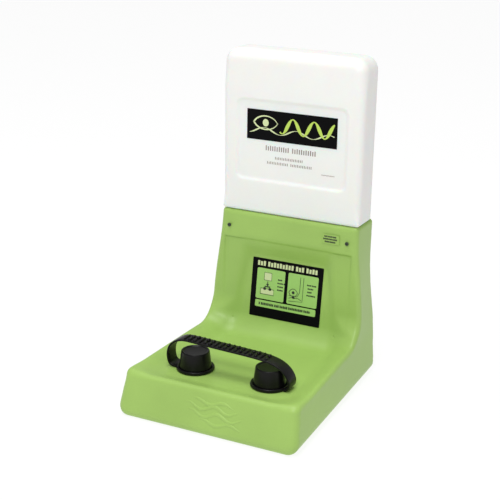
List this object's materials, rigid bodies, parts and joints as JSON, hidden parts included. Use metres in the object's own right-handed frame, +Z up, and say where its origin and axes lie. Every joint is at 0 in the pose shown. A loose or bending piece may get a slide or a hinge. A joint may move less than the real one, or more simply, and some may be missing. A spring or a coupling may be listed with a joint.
{
  "type": "eyewash station",
  "caption": "Gravity-fed emergency eyewash station: a sealed saline cartridge on a moulded basin with upward nozzles under pull-off caps.",
  "frame": {"origin": "on the floor, under the middle of the overall box", "axes": "+Z up, the basin reaches towards -Y, +X to the right of a user who faces the station"},
  "size_m": [0.3194, 0.365, 0.56],
  "materials": {
    "casing": "moulded plastic with a fine satin texture",
    "bottle": "translucent natural blow-moulded plastic, waxy",
    "rubber": "moulded rubber with a soft sheen",
    "seal_rubber": "soft sealing rubber",
    "inner_plastic": "natural moulded plastic",
    "nozzle_plastic": "moulded white plastic",
    "hose": "clear-grey flexible tubing",
    "steel": "stainless",
    "screw_steel": "zinc plated",
    "dark_screw": "dark coated",
    "brass": "machined",
    "foil": "thin foil",
    "label_film": "printed film, black with green panels",
    "rating_film": "clear printed film over the casing colour",
    "banner_film": "printed film, black"
  },
  "bodies": {
    "station": {"front_shell": "casing", "back_cover": "casing", "bottom_plate": "casing", "wall_mount_inserts": "brass", "back_cover_screws": "screw_steel", "bottom_plate_screws": "screw_steel", "foot_screws": "screw_steel", "rubber_feet": "rubber", "cartridge_shelf": "inner_plastic", "band_screws": "dark_screw", "receiver_body": "inner_plastic", "receiver_screws": "screw_steel", "piercing_spike": "steel", "vent_tube": "steel", "receiver_seal": "seal_rubber", "main_hose": "hose", "left_branch_hose": "hose", "right_branch_hose": "hose", "tee_fitting": "inner_plastic", "hose_clamps": "steel", "hose_saddles": "inner_plastic", "left_nozzle": "nozzle_plastic", "right_nozzle": "nozzle_plastic", "left_nozzle_rose": "nozzle_plastic", "right_nozzle_rose": "nozzle_plastic", "nozzle_screens": "steel", "nozzle_gaskets": "seal_rubber", "nozzle_nuts": "nozzle_plastic", "instruction_label": "label_film", "rating_label": "rating_film"},
    "cartridge": {"cartridge_bottle": "bottle", "cartridge_cap": "inner_plastic", "foil_seal": "foil", "cartridge_banner": "banner_film"},
    "strap": {"pull_strap": "rubber", "left_cap": "rubber", "right_cap": "rubber", "cap_seals": "seal_rubber"}
  },
  "joints": [
    {"name": "cartridge_lift", "type": "slide", "parent": "station", "child": "cartridge", "axis": [0, 0, 1], "range_m": [0, 0.12]},
    {"name": "strap_pull", "type": "slide", "parent": "station", "child": "strap", "axis": [0, 0, 1], "range_m": [0, 0.1]}
  ]
}
